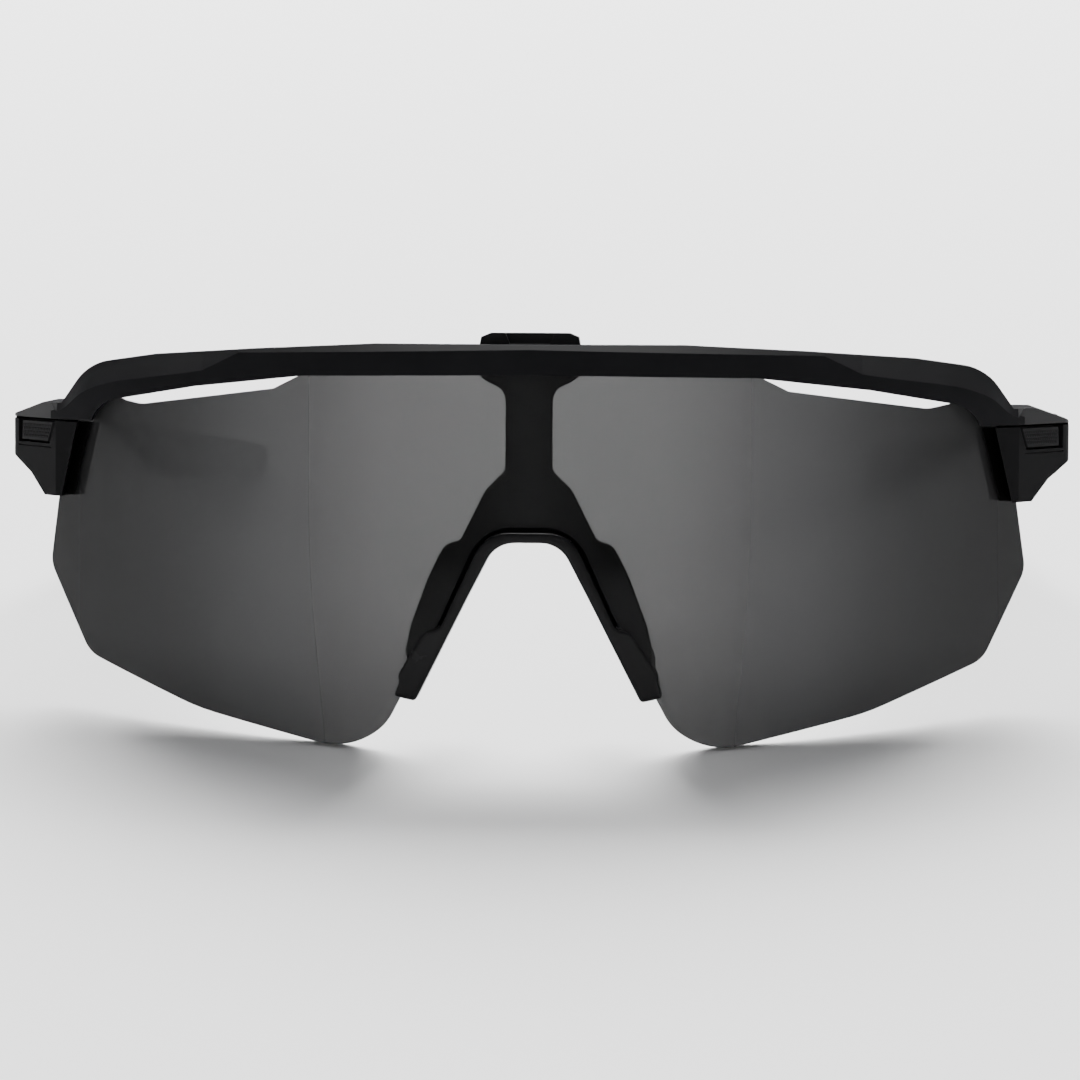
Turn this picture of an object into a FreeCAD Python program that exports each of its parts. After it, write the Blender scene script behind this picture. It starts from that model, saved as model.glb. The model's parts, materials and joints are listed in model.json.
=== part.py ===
"""Wraparound sport sunglasses: one shield lens, a half frame, folding temples.

Everything is drawn as the glasses are worn: X to the wearer's left, Y back towards the
ears, Z up, with the origin at the front of the lens.  The last section turns every
sub-part about X and moves it, so that the glasses stand on the lens and the temple tips.
Left and right are the wearer's.  The left side is drawn, and the right side is its mirror.
"""
import FreeCAD, Part
import math
import os
import Sketcher
from FreeCAD import Placement, Rotation, Vector

os.makedirs("parts", exist_ok=True)
doc = FreeCAD.newDocument("sport_sunglasses")
sheet = doc.addObject("Spreadsheet::Sheet", "Sizes")

X_AXIS = Vector(1, 0, 0)
Y_AXIS = Vector(0, 1, 0)
Z_AXIS = Vector(0, 0, 1)

# ---------------------------------------------------------------- driving sizes, in mm and degrees
SIZES = {
    # shield lens: a barrel surface, curved much more across than up and down
    "lens_radius_across": 88.0,
    "lens_radius_upright": 200.0,
    "lens_equator_height": 12.0,
    "shell_half_angle": 58.0,
    "shell_top": 28.0,
    "shell_bottom": -32.0,
    # how far each curved layer lies in front of the lens face
    "layer_far_front": 14.0,
    "layer_brow_front": 1.8,
    "layer_bead_front": 0.7,
    "layer_gasket_front": 0.55,
    "layer_slot_front": 0.05,
    "layer_lens_front": 0.0,
    "layer_lens_rear": -2.2,
    "layer_slot_rear": -2.25,
    "layer_brow_rear": -3.2,
    "layer_plate_rear": -4.45,
    "layer_pad_pin": -6.2,
    "brow_crease_slope": 45.0,
    # end block: the upright reach of the plan outlines, and the bracket's seat in the web
    "block_bottom": 3.0,
    "block_height": 14.0,
    "web_rear": 45.5,
    "bracket_front": 42.6,
    "bracket_rear": 44.4,
    # hinge
    "hinge_x": 64.6,
    "hinge_y": 47.2,
    "knuckle_radius": 2.2,
    "knuckle_bottom": 8.8,
    "knuckle_top": 11.6,
    "bracket_bottom": 7.6,
    "bracket_top": 13.6,
    "ear_play": 0.1,
    "hinge_pin_radius": 0.8,
    "running_play": 0.03,
    "screw_head_radius": 1.5,
    "small_screw_radius": 0.6,
    "small_head_radius": 1.3,
    "screw_head_height": 0.8,
    "leaf_inner": 64.4,
    "leaf_outer": 66.0,
    "leaf_end": 60.0,
    # release button, in the frame of the cover's outer facet: depth counts inward
    "button_proud": 0.15,
    "button_back": 0.75,
    "button_pocket_depth": 1.6,
    # nose pads
    "pad_thickness": 2.4,
    "pad_pin_radius": 0.55,
    "pad_lug_length": 1.6,
    "pad_gap": 0.3,
    # latch
    "latch_pivot_y": 6.4,
    "latch_pivot_z": 21.6,
    "latch_pin_radius": 0.5,
    "latch_pin_half_length": 6.2,
    "lever_front_y": 4.3,
    "lever_thickness": 3.1,
    # temple
    "core_radius": 0.7,
}
OUTLINES = {
    # front views (x, z) of one half, and plan views (x, y) of the left side
    "lens_edge": [(0, 22.6), (26.4, 22.6), (33.4, 19.1), (51.8, 16.7), (58.0, 18.0), (61.5, 13.7),
                  (63.4, 13.6), (63.8, 5.0), (65.3, -5.0), (59.6, -16.8), (44.0, -23.2), (23.6, -27.95),
                  (18.5, -24.5), (12.0, -12.0), (5.9, 1.58), (0, 1.58)],
    "brow_front": [(0, 25.05), (20.0, 25.05), (36.0, 24.25), (50.0, 23.3), (59.6, 21.9), (64.0, 15.7),
                   (64.9, 15.5), (64.9, 14.4), (58.8, 14.4), (57.5, 16.95), (44.0, 19.25), (29.4, 20.85),
                   (0, 21.2)],
    "brow_crease": [(0, 24.4), (38.0, 23.7), (43.0, 21.3), (48.0, 20.6), (52.0, 20.1), (55.9, 19.5),
                    (58.7, 18.7), (60.7, 17.7), (62.3, 16.3), (64.0, 15.4)],
    "lug_plan": [(58.9, 21.0), (60.9, 21.6), (64.1, 25.0), (71.5, 38.4), (71.5, 45.5), (61.2, 45.5),
                 (60.6, 38.0), (58.9, 30.0)],
    "deck_front": [(55.0, 14.4), (71.5, 14.4), (71.3, 14.8), (66.3, 16.55), (55.0, 16.6)],
    "cover_front": [(60.8, 14.1), (71.5, 14.1), (71.7, 10.3), (71.4, 9.2), (68.4, 7.0), (66.0, 4.15),
                    (63.2, 4.15)],
    "web_plan": [(59.3, 20.0), (62.3, 26.0), (64.6, 31.0), (64.6, 35.0), (68.0, 41.0), (68.0, 45.5),
                 (61.2, 45.5), (60.6, 38.0), (59.3, 29.5)],
    "web_front": [(55.0, 14.4), (70.0, 14.4), (70.0, 7.4), (65.6, 4.8), (62.2, 4.8), (59.5, 14.1)],
    "gasket_front": [(59.1, 14.05), (63.2, 13.8), (63.5, 5.6), (63.5, 4.35), (61.65, 4.35)],
    "lever_front": [(0, 26.5), (5.1, 26.5), (6.3, 26.0), (6.5, 25.0), (6.5, 23.3), (4.1, 23.3), (4.1, 20.7),
                    (2.8, 20.5), (2.8, 18.9), (0, 18.9)],
    "thumb_recess": [(0, 25.1), (2.6, 25.1), (3.4, 27.0), (0, 27.0)],
    "latch_lug": [(4.4, 20.0), (5.0, 20.0), (6.2, 20.8), (6.2, 22.9), (4.4, 22.9)],
    "nose_plate": [(0, 21.0), (6.6, 21.0), (5.3, 20.1), (3.7, 19.4), (3.05, 18.2), (3.05, 8.8), (5.6, 6.3),
                   (8.9, -0.35), (10.9, -0.8), (13.0, -5.0), (15.4, -11.5), (16.15, -15.2), (15.7, -15.9),
                   (16.6, -17.4), (16.7, -19.0), (17.2, -20.4), (14.8, -20.9), (7.9, -7.8), (4.1, -0.43),
                   (0, -0.43)],
    "nose_bead": [(0, 0.95), (5.5, 0.95), (11.3, -11.4), (13.4, -12.0), (15.7, -15.7), (16.9, -17.8),
                  (16.7, -18.6), (17.5, -20.6), (14.6, -21.2), (7.9, -7.8), (4.1, -0.43), (0, -0.43)],
    # on the cover's outer facet: along the facet from its middle, and z
    "button_face": [(-6.9, 13.9), (3.9, 13.9), (4.1, 11.4), (-5.2, 11.4)],
    "button_pocket": [(-8.1, 15.0), (5.8, 15.0), (5.8, 11.05), (-5.42, 11.05)],
}
# The corner roundings that go with the outlines: outline, corner number, radius.
ROUNDINGS = {
    "lens_edge": {3: 1.5, 4: 4.0, 5: 1.5, 6: 1.0, 8: 3.0, 9: 4.0, 10: 4.0, 11: 30.0, 12: 9.5, 13: 7.0,
                  14: 20.0, 15: 6.0},
    "brow_front": {2: 60.0, 3: 80.0, 4: 60.0, 5: 7.0, 6: 1.5, 10: 4.5, 11: 40.0, 12: 60.0},
    "lug_plan": {3: 1.0, 4: 5.0},
    "nose_plate": {3: 0.5, 4: 0.8, 5: 1.0, 6: 1.0, 7: 2.0, 8: 1.0, 9: 2.0, 10: 15.0, 11: 12.0, 12: 0.5,
                   13: 0.4, 16: 0.4, 18: 25.0, 19: 4.0},
    "nose_bead": {2: 5.0, 3: 1.0, 4: 2.0, 5: 5.0, 6: 0.5, 7: 0.3, 8: 0.3, 9: 0.5, 10: 25.0, 11: 4.0},
}
# Temple sections: y, inner x, outer x, bottom z, top z.
TEMPLE_SECTIONS = [(45.8, 63.7, 71.4, 7.9, 15.0), (51.0, 63.9, 71.4, 7.2, 15.1),
                   (58.0, 64.1, 71.0, 6.5, 15.0), (70.0, 63.4, 69.0, 5.9, 13.9),
                   (86.0, 60.6, 65.6, 4.9, 12.0), (100.0, 57.4, 61.9, 4.1, 10.9)]
TONGUE_SECTIONS = [(99.5, 58.7, 60.7, 5.5, 9.6), (118.0, 55.3, 57.3, 4.6, 8.3), (140.0, 51.7, 53.5, 3.6, 6.9)]
GRIP_SECTIONS = [(100.2, 57.3, 61.9, 4.0, 10.9), (112.0, 55.0, 59.6, 3.2, 10.0),
                 (130.0, 51.9, 56.6, 2.3, 8.8), (145.0, 49.3, 53.9, 1.7, 7.7),
                 (151.5, 46.6, 50.6, 1.9, 6.8)]

# Tools reach past the faces that they cut through.
OVERSHOOT = 1.0

cell_row = 0


def put(alias, value):
    """Write one plain number into the sheet, under its alias."""
    global cell_row
    cell_row += 1
    sheet.set(f"A{cell_row}", alias)
    sheet.set(f"B{cell_row}", str(value))
    sheet.setAlias(f"B{cell_row}", alias)


def put_table(name, rows, columns):
    for number, row in enumerate(rows, 1):
        for column, value in zip(columns, row):
            put(f"{name}_{column}_{number:02d}", value)


for alias, value in SIZES.items():
    put(alias, value)
for name, corners in OUTLINES.items():
    put_table(name, corners, ("across", "along"))
for name, radii in ROUNDINGS.items():
    for number, radius in radii.items():
        put(f"{name}_round_{number:02d}", radius)
SECTION_COLUMNS = ("back", "inner", "outer", "bottom", "top")
put_table("temple", TEMPLE_SECTIONS, SECTION_COLUMNS)
put_table("tongue", TONGUE_SECTIONS, SECTION_COLUMNS)
put_table("grip", GRIP_SECTIONS, SECTION_COLUMNS)
doc.recompute()


def of_sheet(alias):
    """The number that the sheet holds under this alias."""
    return float(getattr(sheet, alias))


def bind(thing, **expressions):
    for prop, expression in expressions.items():
        thing.setExpression(prop, expression)
    return thing


# ---------------------------------------------------------------- building blocks
FRONT_VIEW = Rotation(X_AXIS, 90)      # sketch x stays X, sketch y becomes Z, and its normal is -Y
PLAN_VIEW = Rotation()


def polygon(name, points, placement):
    """A closed sketch through points (across, along, across expression, along expression)."""
    sketch = doc.addObject("Sketcher::SketchObject", name)
    sketch.Placement = placement
    count = len(points)
    for number in range(count):
        start = points[number]
        end = points[(number + 1) % count]
        sketch.addGeometry(Part.LineSegment(Vector(start[0], start[1], 0), Vector(end[0], end[1], 0)), False)
    for number in range(count):
        sketch.addConstraint(Sketcher.Constraint("Coincident", (number - 1) % count, 2, number, 1))
    for number, (across, along, across_rule, along_rule) in enumerate(points):
        sides = (("DistanceX", across, across_rule, -2), ("DistanceY", along, along_rule, -1))
        for kind, value, rule, axis in sides:
            if value == 0:
                sketch.addConstraint(Sketcher.Constraint("PointOnObject", number, 1, axis))
                continue
            index = sketch.addConstraint(Sketcher.Constraint(kind, -1, 1, number, 1, value))
            sketch.setExpression(f"Constraints[{index}]", rule)
    return sketch


def outline(name, placement):
    """The sketch of one of the OUTLINES."""
    points = []
    for number in range(1, len(OUTLINES[name]) + 1):
        rules = [f"{name}_across_{number:02d}", f"{name}_along_{number:02d}"]
        points.append((of_sheet(rules[0]), of_sheet(rules[1]), f"Sizes.{rules[0]}", f"Sizes.{rules[1]}"))
    return polygon(f"{name}_sketch", points, placement)


def extrude(name, sketch, direction, length):
    solid = doc.addObject("Part::Extrusion", name)
    solid.Base = sketch
    solid.DirMode = "Custom"
    solid.Dir = direction
    solid.Solid = True
    if isinstance(length, str):
        solid.setExpression("LengthFwd", length)
    else:
        solid.LengthFwd = length
    doc.recompute()
    return solid


TOUCHING = 1e-4
PARALLEL = 0.99


def rounded(name, prism, sketch_name, placement):
    """Round the upright edges of a prism at the corners named in ROUNDINGS."""
    edges = []
    for number in ROUNDINGS.get(sketch_name, {}):
        across = of_sheet(f"{sketch_name}_across_{number:02d}")
        along = of_sheet(f"{sketch_name}_along_{number:02d}")
        place = placement.multVec(Vector(across, along, 0))
        radius = of_sheet(f"{sketch_name}_round_{number:02d}")
        for index, edge in enumerate(prism.Shape.Edges, 1):
            ends = [vertex.Point for vertex in edge.Vertexes]
            hits = [end.distanceToPoint(place) < TOUCHING for end in ends]
            crosses = abs((ends[0] - ends[1]).normalize().dot(placement.Rotation.multVec(Z_AXIS))) > PARALLEL
            if any(hits) and crosses:
                edges.append((index, radius, radius))
    if not edges:
        return prism
    fillet = doc.addObject("Part::Fillet", name)
    fillet.Base = prism
    fillet.Edges = edges
    doc.recompute()
    return fillet


def front_prism(name, start, length, suffix=""):
    """An outline in the front view, pushed back along Y from start."""
    placement = Placement(Vector(0, start, 0), FRONT_VIEW)
    sketch = outline(name, placement)
    prism = extrude(f"{name}_prism{suffix}", sketch, Y_AXIS, length)
    return rounded(f"{name}_rounded{suffix}", prism, name, placement)


def plan_prism(name, bottom, height):
    """An outline in the plan view, raised along Z from bottom."""
    placement = Placement(Vector(0, 0, bottom), PLAN_VIEW)
    sketch = outline(name, placement)
    prism = extrude(f"{name}_prism", sketch, Z_AXIS, height)
    return rounded(f"{name}_rounded", prism, name, placement)


def box(name, low, high):
    solid = doc.addObject("Part::Box", name)
    solid.Length, solid.Width, solid.Height = [b - a for a, b in zip(low, high)]
    solid.Placement.Base = Vector(*low)
    return solid


def cylinder(name, radius, low, direction, length):
    """A cylinder from low along direction. Its radius is a number or an expression."""
    solid = doc.addObject("Part::Cylinder", name)
    if isinstance(radius, str):
        bind(solid, Radius=radius)
    else:
        solid.Radius = radius
    solid.Height = length
    solid.Placement = Placement(Vector(*low), Rotation(Z_AXIS, Vector(*direction)))
    return solid


def joined(name, *shapes):
    result = doc.addObject("Part::MultiFuse", name)
    result.Shapes = list(shapes)
    result.Refine = True
    doc.recompute()
    return result


def cut(name, base, *tools):
    result = doc.addObject("Part::Cut", name)
    result.Base = base
    result.Tool = tools[0] if len(tools) == 1 else joined(f"{name}_tools", *tools)
    result.Refine = True
    doc.recompute()
    return result


def common(name, *shapes):
    result = doc.addObject("Part::MultiCommon", name)
    result.Shapes = list(shapes)
    result.Refine = True
    doc.recompute()
    return result


def mirrored(name, source):
    result = doc.addObject("Part::Mirroring", name)
    result.Source = source
    result.Normal = X_AXIS
    return result


def whole(name, half):
    """A half drawn at X above 0, joined to its mirror."""
    return joined(name, half, mirrored(f"{name}_mirror", half))


def group(name, *members):
    result = doc.addObject("Part::Compound", name)
    result.Links = list(members)
    return result


def surface_point(across, height, layer):
    """The point of a layer at a given X and Z, worked out from the barrel's two radii."""
    upright = of_sheet("lens_radius_upright")
    wide = of_sheet("lens_radius_across")
    drop = height - of_sheet("lens_equator_height")
    radius = wide - upright + math.sqrt((upright + of_sheet(layer)) ** 2 - drop ** 2)
    return Vector(across, wide - math.sqrt(radius ** 2 - across ** 2), height)


def shell(name, front_layer, rear_layer):
    """The curved slice between two layers: an upright arc, turned about the upright axis."""
    sketch = doc.addObject("Sketcher::SketchObject", f"{name}_section")
    sketch.Placement = Placement(Vector(0, 0, 0), Rotation(Y_AXIS, Z_AXIS, X_AXIS, "XYZ"))
    centre = Vector(of_sheet("lens_radius_upright"), of_sheet("lens_equator_height"), 0)
    ends = []
    for layer in (front_layer, rear_layer):
        low = surface_point(0, of_sheet("shell_bottom"), layer)
        high = surface_point(0, of_sheet("shell_top"), layer)
        radius = centre.x + of_sheet(layer)
        middle = Vector(centre.x - radius, centre.y, 0)
        sketch.addGeometry(Part.Arc(Vector(low.y, low.z, 0), middle, Vector(high.y, high.z, 0)), False)
        ends.append((Vector(low.y, low.z, 0), Vector(high.y, high.z, 0)))
    sketch.addGeometry(Part.LineSegment(ends[0][0], ends[1][0]), False)
    sketch.addGeometry(Part.LineSegment(ends[0][1], ends[1][1]), False)
    ring = doc.addObject("Part::Revolution", name)
    ring.Source = sketch
    ring.Axis = Z_AXIS
    ring.Base = Vector(0, of_sheet("lens_radius_across"), 0)
    ring.Angle = 2 * of_sheet("shell_half_angle")
    ring.Symmetric = True
    ring.Solid = True
    doc.recompute()
    return ring


def slanted_polygon(name, placement, corners):
    """A sketch whose corners are plain numbers, for cutting tools worked out from others."""
    sketch = doc.addObject("Sketcher::SketchObject", name)
    sketch.Placement = placement
    for number in range(len(corners)):
        start = Vector(*corners[number], 0)
        end = Vector(*corners[(number + 1) % len(corners)], 0)
        sketch.addGeometry(Part.LineSegment(start, end), False)
    return sketch


def loft(name, table, sections, corner):
    """A solid through upright sections: rectangles with bevelled corners."""
    sketches = []
    for number in range(1, len(sections) + 1):
        row = [of_sheet(f"{table}_{column}_{number:02d}") for column in SECTION_COLUMNS]
        back, inner, outer, bottom, top = row
        sides = {"inner": inner, "outer": outer, "bottom": bottom, "top": top}
        bevel = corner * min(outer - inner, top - bottom)
        points = []
        for across, along, step_across, step_along in (
                ("inner", "bottom", 0, 1), ("inner", "top", 0, -1), ("inner", "top", 1, 0), ("outer", "top", -1, 0),
                ("outer", "top", 0, -1), ("outer", "bottom", 0, 1), ("outer", "bottom", -1, 0),
                ("inner", "bottom", 1, 0)):
            points.append((
                sides[across] + bevel * step_across, sides[along] + bevel * step_along,
                f"Sizes.{table}_{across}_{number:02d} + {bevel * step_across}",
                f"Sizes.{table}_{along}_{number:02d} + {bevel * step_along}"))
        sketches.append(polygon(f"{name}_section_{number}", points, Placement(Vector(0, back, 0), FRONT_VIEW)))
    solid = doc.addObject("Part::Loft", name)
    solid.Sections = sketches
    solid.Solid = True
    solid.Ruled = False
    doc.recompute()
    return solid


# ---------------------------------------------------------------- layers and lens
lens_shell = shell("lens_shell", "layer_lens_front", "layer_lens_rear")
slot_shell = shell("slot_shell", "layer_slot_front", "layer_slot_rear")
ahead_shell = shell("ahead_shell", "layer_far_front", "layer_slot_rear")
brow_shell = shell("brow_shell", "layer_brow_front", "layer_brow_rear")
plate_shell = shell("plate_shell", "layer_slot_rear", "layer_plate_rear")
bead_shell = shell("bead_shell", "layer_bead_front", "layer_plate_rear")
gasket_shell = shell("gasket_shell", "layer_slot_front", "layer_gasket_front")

PRISM_START = -6.0
PRISM_LENGTH = 62.0
lens_prism = front_prism("lens_edge", PRISM_START, PRISM_LENGTH)
shield_lens = whole("shield_lens", common("lens_half", lens_shell, lens_prism))
lens_slot = common("lens_slot", slot_shell, lens_prism)

# ---------------------------------------------------------------- brow, deck and web: one moulding
block_bottom = of_sheet("block_bottom")
block_height = of_sheet("block_height")
brow_half = common("brow_half", brow_shell, front_prism("brow_front", PRISM_START, PRISM_LENGTH))
lug_prism = plan_prism("lug_plan", block_bottom, block_height)
deck_block = common("deck_block", lug_prism, front_prism("deck_front", 0, PRISM_LENGTH))
deck = cut("deck", deck_block, shell("ahead_of_brow", "layer_far_front", "layer_brow_front"))
web_bar = common("web_bar", plan_prism("web_plan", block_bottom, block_height),
                 front_prism("web_front", 0, PRISM_LENGTH))
# The lip under the deck closes the groove between the deck and the cover.
DECK_LIP_LOW = (67.0, 40.6, 13.9)
DECK_LIP_HIGH = (71.5, 45.4, 14.5)
deck_lip = box("deck_lip", DECK_LIP_LOW, DECK_LIP_HIGH)
web_block = cut("web_block", joined("web_union", web_bar, deck_lip), ahead_shell)

hinge = Vector(of_sheet("hinge_x"), of_sheet("hinge_y"), 0)
knuckle_radius = of_sheet("knuckle_radius")
bracket_front = of_sheet("bracket_front")
bracket_rear = of_sheet("bracket_rear")
bracket_low = of_sheet("bracket_bottom")
bracket_high = of_sheet("bracket_top")
KNUCKLE_ROOM = 0.2
KNUCKLE_GAP = 0.4
bracket_seat = box("bracket_seat", (hinge.x - knuckle_radius, bracket_front, bracket_low),
                   (hinge.x + knuckle_radius, of_sheet("web_rear") + OVERSHOOT, bracket_high))
knuckle_room = cylinder("knuckle_room", f"Sizes.knuckle_radius + {KNUCKLE_GAP}",
                        (hinge.x, hinge.y, bracket_low - KNUCKLE_ROOM), (0, 0, 1),
                        bracket_high - bracket_low + 2 * KNUCKLE_ROOM)

# The crease: a facet at 45 degrees rises backwards from this line along the brow's front.
CREASE_START = -4.0
CREASE_OUTER = 72.0
CREASE_TOP = 60.0
CREASE_REACH = 70.0
CREASE_STEPS = 6
CREASE_STRAIGHT = 3


def crease_on_plane(across, height):
    """Where the facet above the crease, followed forward, meets the sketch plane."""
    run = surface_point(across, height, "layer_brow_front").y - CREASE_START
    return Vector(across, height - run * math.tan(math.radians(of_sheet("brow_crease_slope"))), 0)


crease_line = []
for number in range(1, len(OUTLINES["brow_crease"]) + 1):
    crease_line.append((of_sheet(f"brow_crease_across_{number:02d}"), of_sheet(f"brow_crease_along_{number:02d}")))
stretches = []
for start, end in zip(crease_line[:CREASE_STRAIGHT], crease_line[1:CREASE_STRAIGHT]):
    shares = [step / CREASE_STEPS for step in range(CREASE_STEPS + 1)]
    stretches.append([(start[0] + (end[0] - start[0]) * share, start[1] + (end[1] - start[1]) * share)
                      for share in shares])
stretches.append(crease_line[CREASE_STRAIGHT - 1:])
crease_sketch = doc.addObject("Sketcher::SketchObject", "crease_sketch")
crease_sketch.Placement = Placement(Vector(0, CREASE_START, 0), FRONT_VIEW)
for stretch in stretches:
    curve = Part.BSplineCurve()
    curve.interpolate([crease_on_plane(*place) for place in stretch])
    crease_sketch.addGeometry(curve, False)
crease_end = crease_on_plane(*crease_line[-1])
corners = [crease_end, Vector(CREASE_OUTER, crease_end.y, 0), Vector(CREASE_OUTER, CREASE_TOP, 0),
           Vector(0, CREASE_TOP, 0), crease_on_plane(*crease_line[0])]
for start, end in zip(corners, corners[1:]):
    crease_sketch.addGeometry(Part.LineSegment(start, end), False)
crease_cut = extrude("crease_cut", crease_sketch, Vector(0, 1, 1), CREASE_REACH)


def countersunk(name, place, direction, radius, head_radius, head_height, length):
    """A screw whose cone-shaped head starts at place."""
    shank = cylinder(f"{name}_shank", radius, tuple(place), tuple(direction), length)
    head = doc.addObject("Part::Cone", f"{name}_head")
    head.Placement = Placement(place, Rotation(Z_AXIS, direction))
    bind(head, Radius1=head_radius, Radius2=radius, Height=head_height)
    return joined(name, shank, head)


# The notch in the brow's rear edge, open at the top, that the latch's tooth drops into.
NOTCH_LOW = (-0.1, 2.75, 23.0)
NOTCH_HIGH = (4.9, 4.2, 25.4)
notch = box("latch_notch", NOTCH_LOW, NOTCH_HIGH)
BRACKET_SCREW_LENGTH = 5.3
bracket_screw = countersunk("bracket_screw", Vector(hinge.x, bracket_rear, (bracket_low + bracket_high) / 2),
                            Vector(0, -1, 0), "Sizes.small_screw_radius", "Sizes.small_head_radius",
                            "Sizes.screw_head_height", BRACKET_SCREW_LENGTH)
frame_raw = cut("frame_raw", joined("frame_union", brow_half, deck, web_block), lens_slot, crease_cut, bracket_seat,
                knuckle_room, notch, bracket_screw)
brow_frame = whole("brow_frame", frame_raw)

# ---------------------------------------------------------------- end cover with its release button
facet_start = Vector(of_sheet("lug_plan_across_03"), of_sheet("lug_plan_along_03"), 0)
facet_end = Vector(of_sheet("lug_plan_across_04"), of_sheet("lug_plan_along_04"), 0)
facet_along = (facet_end - facet_start).normalize()
facet_inward = Vector(-facet_along.y, facet_along.x, 0)
facet_middle = (facet_start + facet_end) * 0.5


def facet_prism(name, start, depth):
    """An outline drawn on the outer facet, pushed inward from start."""
    turn = Rotation(facet_along, Z_AXIS, facet_inward * -1, "XYZ")
    sketch = outline(name, Placement(facet_middle + facet_inward * start, turn))
    return extrude(f"{name}_prism", sketch, facet_inward, depth)


def facet_box(name, low, high):
    """A box in the facet's own frame: along the facet, inward, and up."""
    turn = Rotation(facet_along, facet_inward, Z_AXIS, "XYZ")
    solid = doc.addObject("Part::Box", name)
    solid.Length, solid.Width, solid.Height = [b - a for a, b in zip(low, high)]
    solid.Placement = Placement(facet_middle + turn.multVec(Vector(*low)), turn)
    return solid


button_proud = of_sheet("button_proud")
button_back = of_sheet("button_back")
AHEAD = 2.0
BAY_DEPTH = 2.6
BAY_LOW = (-1.4, 1.0, 11.6)
BAY_HIGH = (4.4, BAY_DEPTH, 13.2)
RIM_GROOVE_LOW = (-5.9, -AHEAD, 10.5)
RIM_GROOVE_HIGH = (5.9, 0.25, 10.7)
button_raw = facet_prism("button_face", -button_proud, button_proud + button_back)
button_pocket = facet_prism("button_pocket", -AHEAD, AHEAD + of_sheet("button_pocket_depth"))
spring_bay = facet_box("spring_bay", BAY_LOW, BAY_HIGH)
rim_groove = facet_box("rim_groove", RIM_GROOVE_LOW, RIM_GROOVE_HIGH)
cover_block = common("cover_block", lug_prism, front_prism("cover_front", 0, PRISM_LENGTH))
gasket_raw = common("gasket_raw", gasket_shell, front_prism("gasket_front", 0, PRISM_LENGTH))
cover_raw = cut("cover_raw", cover_block, web_block, lens_slot, gasket_raw, button_pocket, spring_bay, rim_groove)

# A bowed leaf: its feet on the bay's floor, its crown just behind the button.
SPRING_CROWN = button_back + 0.05
SPRING_FOOT = BAY_DEPTH - 0.2
SPRING_RISE = 0.5
SPRING_LEAF = 0.18
SPRING_BOW = [(-1.1, SPRING_FOOT), (0.3, SPRING_FOOT - SPRING_RISE), (1.0, SPRING_CROWN), (2.0, SPRING_CROWN),
              (2.7, SPRING_FOOT - SPRING_RISE), (4.1, SPRING_FOOT)]
SPRING_LOW = 11.8
SPRING_WIDTH = 1.2
spring_sketch = slanted_polygon(
    "button_spring_sketch",
    Placement(facet_middle + Vector(0, 0, SPRING_LOW), Rotation(facet_along, facet_inward, Z_AXIS, "XYZ")),
    SPRING_BOW + [(across, depth + SPRING_LEAF) for across, depth in reversed(SPRING_BOW)])
button_spring_raw = extrude("button_spring_raw", spring_sketch, Z_AXIS, SPRING_WIDTH)

# ---------------------------------------------------------------- hinge: bracket, pin screw, leaf
ear_low_top = of_sheet("knuckle_bottom") - of_sheet("ear_play")
ear_high_bottom = of_sheet("knuckle_top") + of_sheet("ear_play")
NECK_OVERLAP = 0.5
bracket_parts = [box("bracket_plate", (hinge.x - knuckle_radius, bracket_front, bracket_low),
                     (hinge.x + knuckle_radius, bracket_rear, bracket_high))]
for label, low, high in (("low", bracket_low, ear_low_top), ("high", ear_high_bottom, bracket_high)):
    bracket_parts.append(box(f"ear_{label}_neck", (hinge.x - knuckle_radius, bracket_rear - NECK_OVERLAP, low),
                             (hinge.x + knuckle_radius, hinge.y, high)))
    bracket_parts.append(cylinder(f"ear_{label}_round", "Sizes.knuckle_radius", (hinge.x, hinge.y, low), (0, 0, 1),
                                  high - low))
pin_whole = countersunk("pin_whole", Vector(hinge.x, hinge.y, bracket_low), Z_AXIS, "Sizes.hinge_pin_radius",
                        "Sizes.screw_head_radius", "Sizes.screw_head_height", bracket_high - bracket_low)
SLOT_REACH = 2.0
SLOT_HALF = 0.2
SLOT_DEPTH = 0.4
pin_slot = box("pin_slot", (hinge.x - SLOT_REACH, hinge.y - SLOT_HALF, bracket_low - OVERSHOOT),
               (hinge.x + SLOT_REACH, hinge.y + SLOT_HALF, bracket_low + SLOT_DEPTH))
hinge_screw_raw = cut("hinge_screw_raw", pin_whole, pin_slot)
bracket_raw = cut("bracket_raw", joined("bracket_union", *bracket_parts), pin_whole, bracket_screw)

leaf_low = of_sheet("knuckle_bottom")
leaf_high = of_sheet("knuckle_top")
leaf_inner = of_sheet("leaf_inner")
leaf_outer = of_sheet("leaf_outer")
leaf_end = of_sheet("leaf_end")
leaf_plate = box("leaf_plate", (leaf_inner, hinge.y, leaf_low), (leaf_outer, leaf_end, leaf_high))
leaf_knuckle = cylinder("leaf_knuckle", "Sizes.knuckle_radius", (hinge.x, hinge.y, leaf_low), (0, 0, 1),
                        leaf_high - leaf_low)
leaf_bore = cylinder("leaf_bore", "Sizes.hinge_pin_radius + Sizes.running_play",
                     (hinge.x, hinge.y, leaf_low - OVERSHOOT), (0, 0, 1), leaf_high - leaf_low + 2 * OVERSHOOT)
LEAF_SCREW_PLACES = (53.0, 57.4)
LEAF_SCREW_START = 63.6
LEAF_SCREW_LENGTH = 4.6
leaf_screws = []
for number, place in enumerate(LEAF_SCREW_PLACES, 1):
    leaf_screws.append(countersunk(
        f"leaf_screw_{number}", Vector(LEAF_SCREW_START, place, (leaf_low + leaf_high) / 2), X_AXIS,
        "Sizes.small_screw_radius", "Sizes.small_head_radius", "Sizes.screw_head_height", LEAF_SCREW_LENGTH))
leaf_raw = cut("leaf_raw", joined("leaf_union", leaf_plate, leaf_knuckle), leaf_bore, *leaf_screws)

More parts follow.
